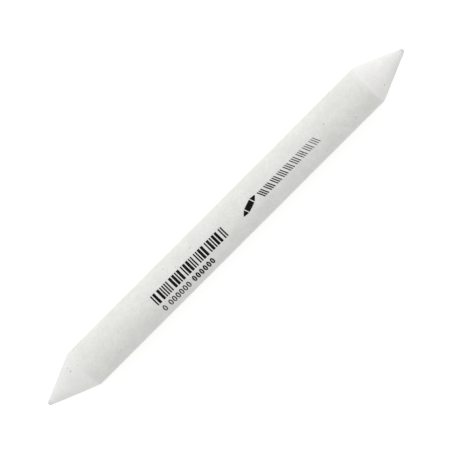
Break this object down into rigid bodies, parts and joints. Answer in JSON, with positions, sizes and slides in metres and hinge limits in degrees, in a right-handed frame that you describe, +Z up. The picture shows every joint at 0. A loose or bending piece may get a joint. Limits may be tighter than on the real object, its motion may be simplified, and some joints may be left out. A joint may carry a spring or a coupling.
{
  "type": "blending stump",
  "caption": "Double-ended blending stump: a tightly wound felt paper stick with both ends sanded to blunt cones, for smudging pencil, charcoal and pastel.",
  "frame": {"origin": "under the middle of the stump, on the surface it lies on", "axes": "+X along the stump, towards the slightly shorter cone; +Z up"},
  "size_m": [0.14, 0.0126, 0.0127],
  "materials": {
    "felt_paper": "soft, lightly felted, sanded to a nap on the cones",
    "cover_paper": "soft matte, faintly mottled with a few grey specks",
    "dried_paste": "thin dry starch film",
    "printing_ink": "matte charcoal ink soaked into the paper"
  },
  "bodies": {
    "root": {"core_sheet": "felt_paper", "felt_sheet_inner": "felt_paper", "felt_sheet_middle": "felt_paper", "felt_sheet_outer": "felt_paper", "cover_sheet": "cover_paper", "core_paste": "dried_paste", "felt_paste_inner": "dried_paste", "felt_paste_middle": "dried_paste", "felt_paste_outer": "dried_paste", "cover_paste": "dried_paste"}
  },
  "joints": []
}
